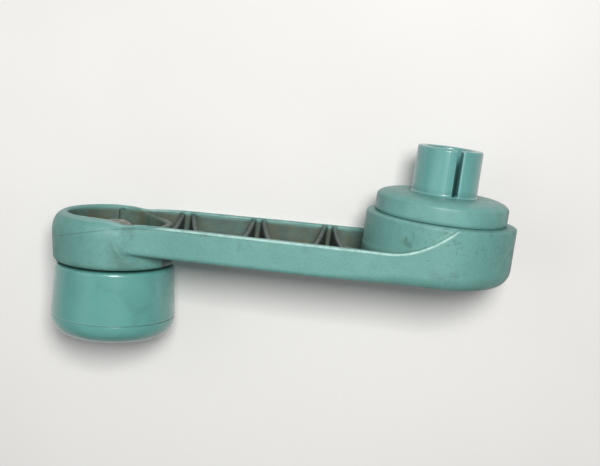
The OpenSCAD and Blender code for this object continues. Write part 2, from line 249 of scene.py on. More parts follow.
def cut_boss(body, x, y, z):
    """Bore, snap ring groove, hexagon socket and screw holes on the crank axis."""
    axis_r = hypot(x, y)
    body = cut(body, meet(axis_r - BOSS_BORE_R, SEAT - z, 0.15), 0.3)
    body = cut(body, overlap(axis_r - BOSS_BORE_R - 0.5, np.abs(z - SNAP_Z) - SNAP_HALF))
    body = cut(body, overlap(hexagon(x, y, HUB_HEX_R + 0.01), HUB_END - 0.1 - z), 0.12)
    for distance in screw_distances(x, y):
        body = cut(body, overlap(distance - 1.16, SEAT - 7.6 - z))
    return body


def arm_field(x, y, z):
    knob_x, knob_z = to_knob(x, z)
    knob_r = hypot(knob_x, y)
    body = cut(arm_outside(x, y, z), channel(x, y, z), 0.3)
    body = join(body, channel_ribs(x, y, z, knob_r), 0.45)
    # the pad's side towards the boss is sunk between the walls
    between = overlap(arm_outline(x, y) + WALL, knob_r - 17.2)
    above = (5.6 - 2.8 * smooth(-3.0, 12.0, knob_x) - knob_z) * 0.95
    body = cut(body, meet(between, overlap(-2.0 - knob_x, above), 0.5), 0.5)
    body = cut(body, pad_recess(x, y, knob_x, knob_r, knob_z), 0.75)
    body = cut(body, knob_r - 3.01)  # pin hole
    return cut_boss(body, x, y, z)


# ---------------------------------------------------------------- other fields
def cut_slot(body, x, y, z):
    """Long slot down one side of the spigot, with one flattened lip."""
    along, across = rotated(x, y, SLOT_ANGLE)
    body = cut(body, overlap(np.abs(across) - 0.7, -along, 0.3 - z), 0.28)
    out, side = rotated(along - (SPIGOT_R - 0.32), across + 2.45, math.radians(9))
    return cut(body, overlap(-out, np.abs(side - 0.9) - 1.1, 0.45 - z), 0.25)


def hub_field(x, y, z):
    axis_r = hypot(x, y)
    body = meet(axis_r - SPIGOT_R, z - SPIGOT_TOP, 0.55)
    body = where(z < 0.35, axis_r - (JOURNAL_R - clip(z, 0, FLARE)), body)
    body = overlap(body, SEAT - z)
    flange = meet(axis_r - 14.6, np.abs(z - SEAT - 1.5) - 1.5, 0.3)
    body = join(body, flange, 0.2)
    foot = meet(hexagon(x, y, HUB_HEX_R), HUB_END - z, 0.3)
    body = minimum(body, overlap(foot, z - SEAT - 0.5))
    # open end, then the sleeve's seat below it
    body = cut(body, overlap(axis_r - SPIGOT_BORE, -1.6 - z), 0.45)
    body = cut(body, overlap(axis_r - 7.31, -18.4 - z, z + 1.59))
    body = cut_slot(body, x, y, z)
    for distance in screw_distances(x, y):
        body = cut(body, distance - 1.6, 0.12)
    return body


def knob_side(r, z):
    """Tapered side of the knob."""
    widening = (KNOB_RIM_R - KNOB_TOP_R) * clip((KNOB_TOP - z) / BARREL_H, 0, 1.1)
    return r - (KNOB_TOP_R + widening)


def barrel_field(x, y, z):
    """Hollow barrel with a central tube and eight ribs, in the knob frame."""
    r = hypot(x, y)
    body = meet(knob_side(r, z), z - KNOB_TOP, 0.85)
    body = meet(body, BARREL_END - z, 0.16)
    hollow = overlap(r - (KNOB_TOP_R - KNOB_WALL), z - (KNOB_TOP - KNOB_WALL))
    core = add_spokes(meet(r - 8.2, KNOB_TOP - 12.3 - z, 0.3), x, y, KNOB_TOP - 11.2 - z,
                      (0, 45, 90, 135), half_width=0.6, edge=0.2, fillet=0.4)
    body = cut(body, cut(hollow, core, 0.35), 0.25)
    body = cut(body, r - 6.01, 0.15)
    return cut(body, overlap(r - 7.6, KNOB_TOP - KNOB_WALL - z), 0.15)


def collar_field(x, y, z):
    """Simplified collar, for the masks."""
    axis_r = hypot(x, y)
    width = COLLAR_R - FACE_R
    reach = hypot(maximum(axis_r - FACE_R, 0) / width, maximum(z + CROWN, 0) / CROWN)
    on_crown = (z > -CROWN) & (axis_r > FACE_R)
    body = where(on_crown, (reach - 1) * 3.0, maximum(axis_r - COLLAR_R, z))
    return overlap(body, -COLLAR_H - z, JOURNAL_R + 0.05 - axis_r)


def knob_field(x, y, z):
    """Simplified knob, for the masks."""
    knob_x, knob_z = to_knob(x, z)
    ends = overlap(knob_z - KNOB_TOP, BARREL_END - CAP_H - knob_z)
    return meet(knob_side(hypot(knob_x, y), knob_z), ends, 1.0)


def all_field(x, y, z):
    return reduce(minimum, [field(x, y, z)
                            for field in (arm_field, hub_field, collar_field, knob_field)])


# ---------------------------------------------------------------- dual contouring
SLAB = 24  # grid layers evaluated at once


def gradient(field, points, reach):
    """Unit gradient from four samples round each point."""
    total = np.zeros_like(points)
    for corner in ((1, -1, -1), (-1, -1, 1), (-1, 1, -1), (1, 1, 1)):
        value = field(*(points[:, i] + reach * corner[i] for i in range(3)))
        for i in range(3):
            total[:, i] += corner[i] * value
    return total / maximum(np.linalg.norm(total, axis=1, keepdims=True), 1e-9)


def crossings(field, values, low, spacing, axis):
    """Where grid edges along the axis cross the surface, and the four cells round each."""
    inside = values < 0
    cells = np.array(values.shape) - 1
    lower, upper = [slice(None)] * 3, [slice(None)] * 3
    lower[axis], upper[axis] = slice(0, -1), slice(1, None)
    start = np.argwhere(inside[tuple(lower)] != inside[tuple(upper)])
    others = [(axis + 1) % 3, (axis + 2) % 3]
    start = start[((start[:, others] > 0) & (start[:, others] < cells[others])).all(1)]
    end = start.copy()
    end[:, axis] += 1

    def point(t):
        moved = low + start * spacing
        moved[:, axis] += t * spacing
        return moved

    value0, value1 = values[tuple(start.T)].astype(float), values[tuple(end.T)].astype(float)
    t0, t1 = np.zeros(len(start)), np.ones(len(start))
    t = value0 / (value0 - value1)
    for _ in range(3):  # regula falsi, kept off the ends of the bracket
        value = field(*point(t).T)
        same = np.sign(value) == np.sign(value0)
        t0, value0 = where(same, t, t0), where(same, value, value0)
        t1, value1 = where(same, t1, t), where(same, value1, value)
        drop = where(np.abs(value0 - value1) < 1e-12, 1e-12, value0 - value1)
        t = t0 + (t1 - t0) * clip(value0 / drop, 0.02, 0.98)

    around = np.repeat(start[:, None, :], 4, axis=1)
    around[:, :, others[0]] += np.array([-1, 0, 0, -1])
    around[:, :, others[1]] += np.array([-1, -1, 0, 0])
    quads = np.ravel_multi_index(tuple(np.moveaxis(around, -1, 0)), tuple(cells))
    ahead = inside[tuple(end.T)]  # the solid lies ahead of the edge: turn the face round
    quads[ahead] = quads[ahead][:, ::-1]
    return point(t), quads


def contour(field, low, high, spacing):
    """Vertices, quads and unit normals of the surface where the field is zero."""
    low, high = np.array(low, float), np.array(high, float)
    size = np.ceil((high - low) / spacing).astype(int) + 1
    ticks = [low[i] + spacing * np.arange(size[i]) for i in range(3)]
    values = np.empty(tuple(size), np.float32)
    for i in range(0, size[0], SLAB):
        grid = np.meshgrid(ticks[0][i:i + SLAB], ticks[1], ticks[2], indexing="ij")
        values[i:i + SLAB] = field(*grid)
    found = [crossings(field, values, low, spacing, axis) for axis in range(3)]
    points, quads = (np.concatenate(part) for part in zip(*found))
    normals = np.repeat(gradient(field, points, 0.02), 4, axis=0)
    points = np.repeat(points, 4, axis=0)

    # one vertex per cell: least-squares meeting point of its tangent planes
    used, owner = np.unique(quads.ravel(), return_inverse=True)
    total = len(used)
    count = np.bincount(owner, minlength=total).astype(float)
    centre = np.stack([np.bincount(owner, points[:, i], total) for i in range(3)], 1)
    centre /= count[:, None]
    heights = (normals * (points - centre[owner])).sum(1)
    matrix, vector = np.zeros((total, 3, 3)), np.zeros((total, 3))
    for i in range(3):
        vector[:, i] = np.bincount(owner, normals[:, i] * heights, total)
        for j in range(i, 3):
            entry = np.bincount(owner, normals[:, i] * normals[:, j], total)
            matrix[:, i, j] = matrix[:, j, i] = entry
    matrix += np.eye(3) * (0.04 * count)[:, None, None]
    offset = np.linalg.solve(matrix, vector[:, :, None])[:, :, 0]
    cell_low = low + np.stack(np.unravel_index(used, tuple(size - 1)), 1) * spacing
    verts = clip(centre + offset, cell_low - 0.02 * spacing, cell_low + 1.02 * spacing)
    for _ in range(2):  # settle smooth regions on the surface
        distance = clip(field(*verts.T), -0.12 * spacing, 0.12 * spacing)
        verts = verts - gradient(field, verts, 0.03) * distance[:, None]
    return verts, owner.reshape(-1, 4), gradient(field, verts, 0.14)


# ---------------------------------------------------------------- masks
# (signed distance along the normal, weight)
CAVITY_PROBES = ((0.8, 0.2), (2.2, 0.35), (5.0, 0.45))
EDGE_PROBES = ((-0.35, 0.5), (-0.8, 0.5))


def probe(field, points, normals, probes):
    """Outward probes tell how enclosed a point is, inward ones how exposed an edge is."""
    mask = np.zeros(len(points))
    for reach, weight in probes:
        mask += weight * clip(1 - field(*(points + normals * reach).T) / reach, 0, 1)
    return mask


def halo(a, b):
    """Fades from 1 on a line to 0 at 0.8 mm, given two distances across it."""
    return clip(1 - hypot(a, b) / 0.8, 0, 1)


def arm_masks(points, cavity, edge):
    """Rims with painted highlight and wear, dirty inside of the channel and recess, ribs darkened
    with painted shade and dirt, and the strip by the ring.
    """
    x, y, z = points.T
    knob_x, knob_z = to_knob(x, z)
    knob_r, axis_r = hypot(knob_x, y), hypot(x, y)
    top, slope = rim_line(x)
    outline = arm_outline(x, y)
    above = (z - top) / np.sqrt(1 + slope * slope)
    # rim, recess_edge and ring_edge: where the painted highlight and rubbed wear go
    rim = halo(outline + 0.15, above + 0.15) * smooth(-82.0, -74.0, x) * smooth(5.0, 1.0, x)
    recess_edge = halo(knob_r - 14.15, knob_z - PAD_TOP + 0.2) * smooth(-12.0, -6.0, knob_x)
    ring_edge = halo(axis_r - RING_R + 0.3, z - RING_TOP + 0.3) * 0.5
    trough = smooth(0.9, 0.2, outline + WALL) * smooth(0.4, -0.4, RING_R - axis_r)
    trough = trough * smooth(0.4, 1.6, top - z)
    trough = trough * smooth(0.8, 1.4, z - (UNDER_Z + UNDER_SLOPE * minimum(x, 0)))
    well = smooth(1.0, 0.2, knob_r - RECESS_R) * smooth(0.5, 1.7, PAD_TOP - knob_z)
    well = well * smooth(-7.4, -6.6, knob_z)
    inside = maximum(trough, well)
    near = np.exp(-((axis_r - RING_R) / 2.2) ** 2)
    near = near * smooth(-20.0, -9.0, x) * smooth(-17.0, -13.0, z)
    # ribs mask: where the ribs are darkened with painted shade and dirt
    off_rib = reduce(minimum, [rib_distance(x, y, *rib) for rib in RIBS])
    ribs = smooth(1.05, 0.8, off_rib) * smooth(0.2, -0.3, outline + WALL)
    ribs = ribs * smooth(14.0, 14.6, knob_r) * smooth(-20.0, -24.0, x)
    # cav: occlusion mask for dirt and painted shade in hollows, weakened by the ring
    return {"cav": cavity * (1 - 0.75 * near) * (0.3 + 0.7 * inside),
            "edge": edge * (1 - inside),
            "rim": reduce(maximum, [rim, recess_edge, ring_edge]),
            "inside": inside, "ribs": ribs, "near": near}


# ---------------------------------------------------------------- meshes
def link(name, data):
    obj = bpy.data.objects.new(name, data)
    bpy.context.scene.collection.objects.link(obj)
    return obj


def shade_smooth(mesh):
    mesh.polygons.foreach_set("use_smooth", np.ones(len(mesh.polygons), bool))


def add_attributes(mesh, masks):
    for key, values in masks.items():
        attribute = mesh.attributes.new(key, "FLOAT", "POINT")
        attribute.data.foreach_set("value", np.asarray(values, np.float32))


def moulded(name, field, low, high, spacing, in_knob=False, extra=None):
    """Contours a field; in_knob fields live in the knob frame."""
    own_points, faces, own_normals = contour(field, low, high, spacing)
    points, normals = own_points, own_normals
    if in_knob:
        points, normals = from_knob(own_points), from_knob(own_normals, origin=0)
    cavity = probe(all_field, points, normals, CAVITY_PROBES)
    edge = probe(field, own_points, own_normals, EDGE_PROBES)
    masks = extra(points, cavity, edge) if extra else {"cav": cavity, "edge": edge}

    mesh = bpy.data.meshes.new(name)
    faces = faces.astype(np.int32)
    mesh.vertices.add(len(points))
    mesh.vertices.foreach_set("co", (points * MM).astype(np.float32).ravel())
    mesh.loops.add(faces.size)
    mesh.loops.foreach_set("vertex_index", faces.ravel())
    mesh.polygons.add(len(faces))
    mesh.polygons.foreach_set("loop_start", np.arange(0, faces.size, 4, dtype=np.int32))
    mesh.update(calc_edges=True)
    mesh.validate()
    shade_smooth(mesh)
    add_attributes(mesh, masks)
    mesh.normals_split_custom_set_from_vertices([tuple(normal) for normal in normals])
    return link(name, mesh)


def fillet(profile):
    """Rounds the profile's corners: points are (r, z) or (r, z, corner radius, arc steps)."""
    points = []
    for i, (r, z, *rounding) in enumerate(profile):
        if not rounding:
            points.append((r, z))
            continue
        radius, steps = rounding
        corner = np.array((r, z), float)
        back = np.array(profile[i - 1][:2], float) - corner
        ahead = np.array(profile[(i + 1) % len(profile)][:2], float) - corner
        back_l, ahead_l = np.linalg.norm(back), np.linalg.norm(ahead)
        back, ahead = back / back_l, ahead / ahead_l
        half = math.acos(max(-1, min(1, float(back @ ahead)))) / 2
        trim = min(radius / math.tan(half), 0.48 * back_l, 0.48 * ahead_l)
        radius = trim * math.tan(half)
        bisector = (back + ahead) / np.linalg.norm(back + ahead)
        centre = corner + bisector * (radius / math.sin(half))
        first, last = corner + back * trim - centre, corner + ahead * trim - centre
        angle = math.atan2(first[1], first[0])
        sweep = (math.atan2(last[1], last[0]) - angle + math.pi) % (2 * math.pi) - math.pi
        for k in range(steps + 1):
            t = angle + sweep * k / steps
            points.append((centre[0] + radius * math.cos(t), centre[1] + radius * math.sin(t)))
    return points


def densify(points, longest, closed):
    """Splits the spans that are longer than the longest allowed."""
    dense = []
    ends = points[1:] + (points[:1] if closed else [])
    for (r0, z0), (r1, z1) in zip(points, ends):
        count = max(1, math.ceil(math.hypot(r1 - r0, z1 - z0) / longest))
        for i in range(count):
            dense.append((r0 + (r1 - r0) * i / count, z0 + (z1 - z0) * i / count))
    return dense if closed else dense + [points[-1]]


def lathe(name, profile, segments, longest, in_knob=True, own=None, waves=0, depth=0.0):
    """Turns a profile that runs anticlockwise in (r, z). One that starts on the axis ends there
    too and makes a solid; any other is closed into a ring. own is the field for edge wear."""
    closed = profile[0][0] != 0
    outline = densify(fillet(profile), longest, closed)
    rings = outline if closed else outline[1:-1]
    radius, height = np.array(rings).T
    angle = np.arange(segments)[:, None] * 2 * math.pi / segments
    points = np.stack([np.cos(angle) * radius, np.sin(angle) * radius,
                       height + depth * np.cos(waves * angle)], -1).reshape(-1, 3)

    here = np.arange(len(points)).reshape(segments, -1)
    beside = np.roll(here, -1, 0)
    quads = np.stack([here, beside, np.roll(beside, -1, 1), np.roll(here, -1, 1)], -1)
    if closed:
        faces = quads.reshape(-1, 4).tolist()
    else:
        faces = quads[:, :-1].reshape(-1, 4).tolist()
        bottom, top = len(points), len(points) + 1
        points = np.concatenate([points, [[0, 0, outline[0][1]], [0, 0, outline[-1][1]]]])
        here, beside = here.tolist(), beside.tolist()
        faces += [(bottom, b[0], a[0]) for a, b in zip(here, beside)]
        faces += [(top, a[-1], b[-1]) for a, b in zip(here, beside)]
    if in_knob:
        points = from_knob(points)

    mesh = bpy.data.meshes.new(name)
    mesh.from_pydata((points * MM).tolist(), [], faces)
    mesh.validate()
    shade_smooth(mesh)
    mesh.update()
    normals = np.zeros(len(mesh.vertices) * 3)
    mesh.vertices.foreach_get("normal", normals)
    normals = normals.reshape(-1, 3)
    edge = probe(own, points, normals, EDGE_PROBES) if own else np.zeros(len(points))
    cavity = probe(all_field, points, normals, CAVITY_PROBES)
    add_attributes(mesh, {"cav": cavity, "edge": edge})
    obj = link(name, mesh)
    obj.modifiers.new("weighted", "WEIGHTED_NORMAL").weight = 60
    return obj


# ---------------------------------------------------------------- material helpers
def srgb(*channels):
    """Linear colour from 0-255 sRGB channels."""
    def linear(c):
        c /= 255.0
        return c / 12.92 if c <= 0.04045 else ((c + 0.055) / 1.055) ** 2.4
    return tuple(linear(c) for c in channels) + (1.0,)


class Tree:
    """A material and short ways to add nodes to it. Values may be numbers or sockets."""

    def __init__(self, name):
        self.material = bpy.data.materials.new(name)
        self.material.use_nodes = True
        self.nodes = self.material.node_tree.nodes
        self.nodes.clear()
        self.out = self.node("ShaderNodeOutputMaterial")
        self.coords = self.node("ShaderNodeTexCoord").outputs["Object"]

    def node(self, kind, **settings):
        node = self.nodes.new(kind)
        for key, value in settings.items():
            setattr(node, key, value)
        return node

    def put(self, socket, value):
        if isinstance(value, bpy.types.NodeSocket):
            self.material.node_tree.links.new(value, socket)
        else:
            socket.default_value = value

    def noise(self, scale, detail=4.0, rough=0.55, coords=None, distortion=0.0):
        node = self.node("ShaderNodeTexNoise")
        self.put(node.inputs["Vector"], coords or self.coords)
        node.inputs["Scale"].default_value = scale
        node.inputs["Detail"].default_value = detail
        node.inputs["Roughness"].default_value = rough
        node.inputs["Distortion"].default_value = distortion
        return node.outputs["Fac"]

    def math(self, operation, *values, clamp=False):
        node = self.node("ShaderNodeMath", operation=operation, use_clamp=clamp)
        for socket, value in zip(node.inputs, values):
            self.put(socket, value)
        return node.outputs[0]

    def times(self, a, b, clamp=False):
        return self.math("MULTIPLY", a, b, clamp=clamp)

    def plus(self, a, b, clamp=False):
        return self.math("ADD", a, b, clamp=clamp)

    def jitter(self, mask, noise, amount):
        """Breaks up a mask with noise centred on 0.5."""
        return self.plus(mask, self.times(self.math("SUBTRACT", noise, 0.5), amount))

    def ramp(self, value, low, high, start=0.0, end=1.0):
        """Smooth ramp from start, where the value is low, to end, where it is high."""
        node = self.node("ShaderNodeMapRange", interpolation_type="SMOOTHSTEP")
        self.put(node.inputs["Value"], value)
        node.inputs["From Min"].default_value = low
        node.inputs["From Max"].default_value = high
        node.inputs["To Min"].default_value = start
        node.inputs["To Max"].default_value = end
        return node.outputs["Result"]

    def mix(self, mask, first, second, amount=None):
        """From the first colour to the second by the mask, times the amount if given."""
        if amount is not None:
            mask = self.times(mask, amount)
        node = self.node("ShaderNodeMix", data_type="RGBA")
        for index, value in ((0, mask), (6, first), (7, second)):
            self.put(node.inputs[index], value)
        return node.outputs[2]

    def attribute(self, name):
        return self.node("ShaderNodeAttribute", attribute_name=name).outputs["Fac"]

    def geometry(self, output):
        return self.node("ShaderNodeNewGeometry").outputs[output]

    def xyz(self):
        node = self.node("ShaderNodeSeparateXYZ")
        self.put(node.inputs[0], self.coords)
        return node.outputs

    def scaled(self, *scale):
        node = self.node("ShaderNodeMapping")
        self.put(node.inputs["Vector"], self.coords)
        node.inputs["Scale"].default_value = scale
        return node.outputs["Vector"]

    def bump(self, height, strength, distance, below=None):
        """Bump on top of the normal below; the distance is in metres."""
        node = self.node("ShaderNodeBump")
        node.inputs["Strength"].default_value = strength
        node.inputs["Distance"].default_value = distance
        self.put(node.inputs["Height"], height)
        if below is not None:
            self.put(node.inputs["Normal"], below)
        return node.outputs["Normal"]

    def principled(self, colour, rough, normal, metallic=0.0, specular=0.5, coat=0.0):
        node = self.node("ShaderNodeBsdfPrincipled")
        self.put(node.inputs["Base Color"], colour)
        self.put(node.inputs["Roughness"], rough)
        self.put(node.inputs["Metallic"], metallic)
        node.inputs["Specular IOR Level"].default_value = specular
        if coat:
            node.inputs["Coat Weight"].default_value = coat
            node.inputs["Coat Roughness"].default_value = 0.26
        self.put(node.inputs["Normal"], normal)
        return node.outputs[0]

    def finish(self, shader):
        self.put(self.out.inputs["Surface"], shader)
        return self.material


# ---------------------------------------------------------------- teal plastics
def arm_dirt_and_shade(tree, colour, cavity, smudge):
    """Olive and brown silt in the channel and recess with painted shade in the deep hollows, ribs
    darkened by painted shade and dirt, scuffs by the ring.
    """
    inside, blots = tree.attribute("inside"), tree.noise(190.0, detail=5.0, rough=0.65)
    silt = tree.mix(tree.ramp(blots, 0.38, 0.62), srgb(64, 86, 79), srgb(80, 86, 70))
    # deep hollows darker: painted shade over the silt
    silt = tree.mix(tree.ramp(cavity, 0.5, 0.95), silt, srgb(48, 54, 46), amount=0.22)
    colour = tree.mix(inside, colour, silt, amount=tree.ramp(smudge, 0.3, 0.6, 0.72, 1.0))
    # ribs darkened: painted shade on their flanks, with dirt
    colour = tree.mix(tree.attribute("ribs"), colour, srgb(54, 66, 62), amount=0.72)
    scuff = tree.ramp(tree.noise(380.0, detail=6.0, rough=0.75, distortion=1.2), 0.55, 0.64)
    scuff = tree.times(scuff, tree.attribute("near"))
    return tree.mix(scuff, colour, srgb(54, 82, 74), amount=0.45)


def rim_highlight_and_rub(tree, colour):
    """Bright outer edge of the rims: painted highlight with rubbed wear."""
    patches = tree.noise(420.0, detail=4.0, rough=0.65)
    highlight_rub = tree.times(tree.ramp(tree.attribute("rim"), 0.28, 0.8),
                     tree.ramp(patches, 0.32, 0.56, 0.45, 1.0))
    return tree.mix(highlight_rub, colour, srgb(182, 216, 210), amount=0.7)


def parting_line(tree, colour, normal, dirt):
    """Mould line along the flank: level with the rim on the arm, dropping round the pad."""
    x, y, z = tree.xyz()
    rim = tree.plus(tree.times(x, RIM_SLOPE), (RIM_Z - 0.72) * MM)
    over = tree.math("MAXIMUM", tree.math("SUBTRACT", -0.072, x), 0.0)
    drop = tree.times(tree.times(over, over), 6.2)
    height = tree.math("SUBTRACT", z, tree.math("SUBTRACT", rim, drop))
    mark = tree.ramp(tree.math("ABSOLUTE", height), 0.00004, 0.00017, 1.0, 0.0)
    # only on the flanks, fading out towards the pad, and broken up
    mark = tree.times(mark, tree.ramp(tree.math("ABSOLUTE", y), 0.006, 0.010))
    mark = tree.times(mark, tree.ramp(x, -0.062, -0.040, 1.0, 0.0))
    mark = tree.times(mark, tree.ramp(tree.noise(500.0, detail=2.0), 0.35, 0.55, 0.35, 1.0))
    colour = tree.mix(mark, colour, dirt, amount=0.42)
    return colour, tree.bump(mark, strength=0.35, distance=-0.00005, below=normal)


def turned_ripple(tree, normal):
    """Faint wavering rings round Z, in patches."""
    height = tree.xyz()[2]
    wobble = tree.plus(height, tree.times(tree.noise(300.0, detail=2.0), 0.0009))
    rings = tree.math("SINE", tree.times(wobble, 7200.0))
    patches = tree.ramp(tree.noise(75.0, detail=2.0), 0.42, 0.66)
    return tree.bump(tree.times(rings, patches), strength=0.16, distance=0.00006, below=normal)


def plastic(name, *, base, light, dirt, rough, grain, grime_and_shade, wear, specular,
            coat=0.0, arm=False, ripple=False):
    """Moulded plastic. base to light is the slow variation, grain a bump depth in metres,
    grime_and_shade and wear the strength of dirt and painted shade in hollows and of rubbed
    edges."""
    tree = Tree(name)
    cavity, edge = tree.attribute("cav"), tree.attribute("edge")
    broad = tree.noise(45.0, detail=4.0, rough=0.6)
    mottle = tree.noise(260.0, detail=5.0, rough=0.6)
    fine = tree.noise(2600.0, detail=3.0, rough=0.6)
    speck = tree.noise(3400.0, detail=2.0, rough=0.5)
    smudge = tree.noise(95.0, detail=6.0, rough=0.72, distortion=0.8)
    colour = tree.mix(tree.ramp(broad, 0.34, 0.66), base, light)
    darker = tuple(c * 0.86 for c in base[:3]) + (1,)
    colour = tree.mix(tree.ramp(mottle, 0.35, 0.7), colour, darker, amount=0.28)
    # dirt in the grain, handling smudges, then dirt with painted shade in the hollows
    colour = tree.mix(tree.ramp(speck, 0.52, 0.72), colour, dirt, amount=0.08 + 0.22 * grime_and_shade)
    colour = tree.mix(tree.ramp(smudge, 0.54, 0.74), colour, dirt, amount=0.10 + 0.28 * grime_and_shade)
    # hollows: dirt with painted shade, from the occlusion mask cav
    hollows = tree.ramp(tree.jitter(cavity, mottle, 0.35), 0.16, 0.78)
    hollows = tree.times(hollows, grime_and_shade, clamp=True)
    colour = tree.mix(hollows, colour, dirt)
    if arm:
        colour = arm_dirt_and_shade(tree, colour, cavity, smudge)
    # worn edges, paler than the light colour
    worn = tree.ramp(tree.jitter(edge, mottle, 0.16), 0.13, 0.30)
    worn = tree.times(worn, tree.ramp(cavity, 0.7, 0.3), clamp=True)
    worn = tree.times(worn, wear, clamp=True)
    gains, lifts = (1.55, 1.22, 1.25), (0.10, 0.07, 0.08)
    pale = tuple(min(1, c * gain + lift) for c, gain, lift in zip(light, gains, lifts))
    colour = tree.mix(worn, colour, pale + (1,))
    if arm:
        # rims: painted highlight with wear
        colour = rim_highlight_and_rub(tree, colour)
    # rougher in the grime, smoother in broad patches
    roughness = tree.ramp(mottle, 0.3, 0.75, rough - 0.05, rough + 0.09)
    roughness = tree.plus(roughness, tree.times(hollows, 0.22))
    glossy = tree.times(tree.ramp(broad, 0.4, 0.7), -0.05)
    roughness = tree.plus(roughness, glossy, clamp=True)
    normal = tree.bump(fine, strength=0.55, distance=grain)
    normal = tree.bump(mottle, strength=0.25, distance=grain * 2.2, below=normal)
    # thin scratches
    scratch = tree.noise(420.0, detail=2.0, rough=0.5, coords=tree.scaled(0.35, 1.0, 6.0),
                         distortion=0.6)
    scratch = tree.ramp(scratch, 0.66, 0.7)
    normal = tree.bump(scratch, strength=0.10, distance=0.00003, below=normal)
    if arm:
        colour, normal = parting_line(tree, colour, normal, dirt)
    if ripple:
        normal = turned_ripple(tree, normal)
    return tree.finish(tree.principled(colour, roughness, normal, specular=specular, coat=coat))


# ---------------------------------------------------------------- steel, nylon and floor
def steel(name, base, tint, rough):
    """Streaked metal with bright edges and brown spots."""
    tree = Tree(name)
    broad = tree.noise(220.0)
    streaks = tree.noise(900.0, detail=3.0, rough=0.6, coords=tree.scaled(1, 1, 14))
    colour = tree.mix(tree.ramp(broad, 0.35, 0.68), base, tint)
    worn = tree.ramp(tree.geometry("Pointiness"), 0.52, 0.60)
    colour = tree.mix(worn, colour, (0.78, 0.78, 0.76, 1), amount=0.5)
    spots = tree.ramp(tree.noise(700.0, detail=5.0, rough=0.7), 0.62, 0.74)
    colour = tree.mix(spots, colour, (0.10, 0.075, 0.05, 1), amount=0.5)
    roughness = tree.plus(tree.ramp(streaks, 0.3, 0.7, rough - 0.07, rough + 0.1),
                          tree.times(spots, 0.25), clamp=True)
    normal = tree.bump(streaks, strength=0.25, distance=0.00002)
    normal = tree.bump(broad, strength=0.2, distance=0.00004, below=normal)
    return tree.finish(tree.principled(colour, roughness, normal, metallic=1.0))


def nylon(name):
    """Cream plastic, darker in hollows and paler on edges."""
    tree = Tree(name)
    broad, fine = tree.noise(160.0), tree.noise(1400.0, detail=3.0)
    colour = tree.mix(tree.ramp(broad, 0.35, 0.68), srgb(214, 208, 186), srgb(196, 187, 160))
    convex = tree.geometry("Pointiness")
    colour = tree.mix(tree.ramp(convex, 0.5, 0.4), colour, srgb(120, 108, 84), amount=0.5)
    colour = tree.mix(tree.ramp(convex, 0.52, 0.6), colour, srgb(232, 228, 212), amount=0.35)
    normal = tree.bump(fine, strength=0.3, distance=0.00003)
    return tree.finish(tree.principled(colour, tree.ramp(broad, 0.3, 0.7, 0.42, 0.58), normal))


def floor_material():
    """Pale floor, there only for camera and glossy rays that reach its front face."""
    tree = Tree("pale_floor")
    shade = tree.ramp(tree.noise(9.0, detail=3.0), 0.3, 0.7)
    colour = tree.mix(shade, srgb(224, 222, 220), srgb(229, 228, 226))
    normal = tree.bump(tree.noise(900.0, detail=3.0), strength=0.05, distance=0.0001)
    solid = tree.principled(colour, 0.75, normal, specular=0.3)
    clear = tree.node("ShaderNodeBsdfTransparent").outputs[0]
    rays = tree.node("ShaderNodeLightPath").outputs
    glossy = tree.times(rays["Is Glossy Ray"], 1.0)  # share of glossy rays that see it
    front = tree.math("SUBTRACT", 1.0, tree.geometry("Backfacing"))
    seen = tree.times(tree.math("MAXIMUM", rays["Is Camera Ray"], glossy), front)
    mixer = tree.node("ShaderNodeMixShader")
    for socket, value in zip(mixer.inputs, (seen, clear, solid)):
        tree.put(socket, value)
    return tree.finish(mixer.outputs[0])


# Materials by slot name
MATERIALS = {
    "teal_grained_plastic": plastic(
        "teal_grained", base=srgb(96, 148, 141), light=srgb(106, 158, 151),
        dirt=srgb(48, 58, 48), rough=0.50, grain=0.00009, grime_and_shade=0.85, wear=0.45,
        specular=0.45, arm=True),
    "teal_smooth_plastic": plastic(
        "teal_smooth", base=srgb(88, 149, 145), light=srgb(97, 158, 154),
        dirt=srgb(46, 76, 72), rough=0.40, grain=0.00002, grime_and_shade=0.30, wear=0.40,
        specular=0.6, coat=0.7),
    "teal_collar_plastic": plastic(
        "teal_collar", base=srgb(96, 148, 142), light=srgb(108, 160, 154),
        dirt=srgb(50, 74, 68), rough=0.44, grain=0.00003, grime_and_shade=0.15, wear=0.0,
        specular=0.5, ripple=True),
    "teal_knob_plastic": plastic(
        "teal_knob", base=srgb(88, 151, 144), light=srgb(96, 159, 152),
        dirt=srgb(48, 80, 74), rough=0.27, grain=0.000012, grime_and_shade=0.28, wear=0.25,
        specular=0.5, coat=0.6),
    "zinc_steel": steel("zinc_plated", base=(0.30, 0.30, 0.27, 1),
                        tint=(0.20, 0.20, 0.18, 1), rough=0.44),
    "spring_steel": steel("oiled_spring_steel", base=(0.22, 0.22, 0.23, 1),
                          tint=(0.16, 0.16, 0.17, 1), rough=0.30),
    "natural_nylon": nylon("natural_nylon"),
}


def paint(obj, slot):
    obj.data.materials.clear()
    obj.data.materials.append(MATERIALS[slot])


def dress(obj, body, slot, node):
    """Paints a new piece, fixes it to its moving body and replaces its CAD node."""
    paint(obj, slot)
    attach(obj, body)
    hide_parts(node)


# ---------------------------------------------------------------- pieces
def build_moulded():
    arm = moulded("arm_body_shell", arm_field, (-107.2, -21.8, -32.8), (21.8, 21.8, -5.2),
                  ARM_GRID, extra=arm_masks)
    dress(arm, "crank", "teal_grained_plastic", "arm_body")
    hub = moulded("spindle_hub_spigot", hub_field, (-15.4, -15.4, -21.6), (15.4, 15.4, 13.4),
                  HUB_GRID)
    dress(hub, "crank", "teal_smooth_plastic", "spindle_hub")
    barrel = moulded("knob_barrel_skin", barrel_field, (-18.2, -18.2, BARREL_END - 1.0),
                     (18.2, 18.2, KNOB_TOP + 1.0), BARREL_GRID, in_knob=True)
    dress(barrel, "knob", "teal_knob_plastic", "knob_barrel")


